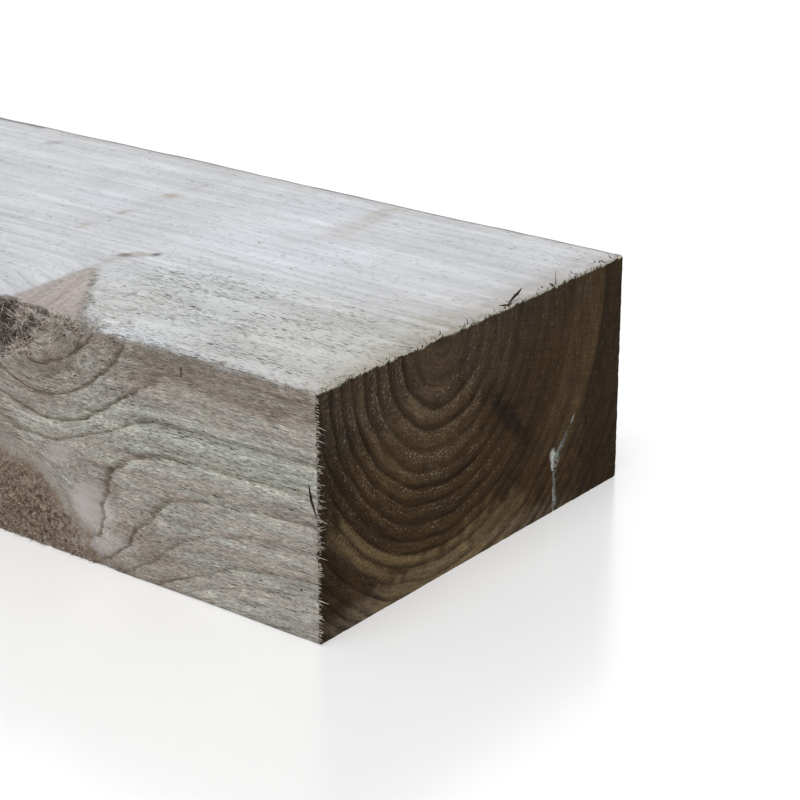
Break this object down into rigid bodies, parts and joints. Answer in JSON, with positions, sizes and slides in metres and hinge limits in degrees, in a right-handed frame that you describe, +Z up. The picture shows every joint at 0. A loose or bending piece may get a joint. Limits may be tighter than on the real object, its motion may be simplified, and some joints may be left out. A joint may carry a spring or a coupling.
{
  "type": "railway sleeper",
  "caption": "Sawn softwood railway sleeper: a long rectangular timber beam with a torn knot on one arris and a drying check in the end grain, laid flat for edging, steps and walls.",
  "frame": {"origin": "middle of the underside, on the surface that the sleeper lies on", "axes": "+X along the sleeper towards the end with the drying check, +Y across its width from the side with the torn knot to the plain side, +Z up through its thickness"},
  "size_m": [2.4, 0.2, 0.1],
  "materials": {
    "sawn_softwood": "rough-sawn and pressure-treated, weathered pale grey on the long faces and dark brown on the end grain"
  },
  "bodies": {
    "root": {"sleeper": "sawn_softwood"}
  },
  "joints": []
}
